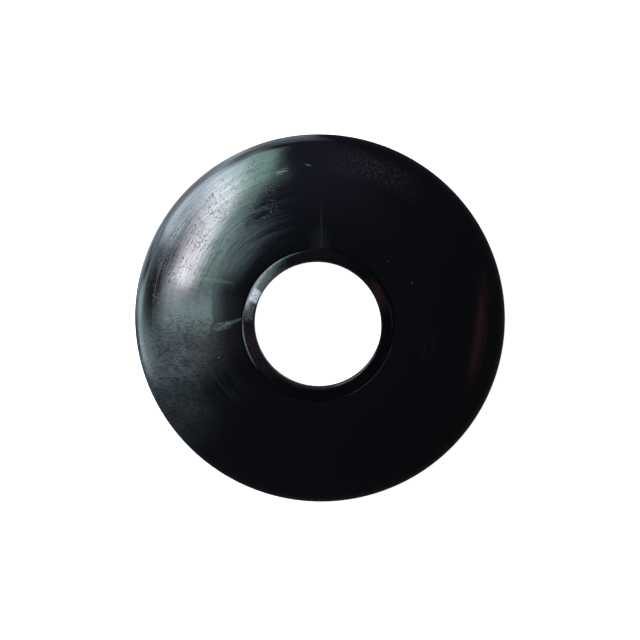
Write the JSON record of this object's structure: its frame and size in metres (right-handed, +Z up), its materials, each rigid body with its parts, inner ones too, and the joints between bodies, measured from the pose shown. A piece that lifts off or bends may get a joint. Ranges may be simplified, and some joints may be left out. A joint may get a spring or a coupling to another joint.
{
  "type": "sink plunger bell",
  "caption": "Shallow round rubber plunger bell with a rounded rim and a hard collar lining the open bore in its crown.",
  "frame": {"origin": "centre of the foot ring that seals on the sink", "axes": "+Z up along the bell's axis, from the foot to the collar; the piece is turned, so X and Y are free"},
  "size_m": [0.1, 0.1, 0.0156],
  "materials": {
    "bell_rubber": "gloss black, scuffed and lightly pitted by use",
    "collar_plastic": "gloss black moulding, edges worn smooth",
    "ring_plastic": "satin black moulding"
  },
  "bodies": {
    "bell": {"rubber_bell": "bell_rubber"},
    "crown": {"collar": "collar_plastic", "backing_ring": "ring_plastic"}
  },
  "joints": [
    {"name": "crown_press", "type": "slide", "parent": "bell", "child": "crown", "axis": [0, 0, 1], "range_m": [-0.006, 0], "stiffness_N_per_m": 2500, "deforming": ["rubber_bell"]}
  ]
}
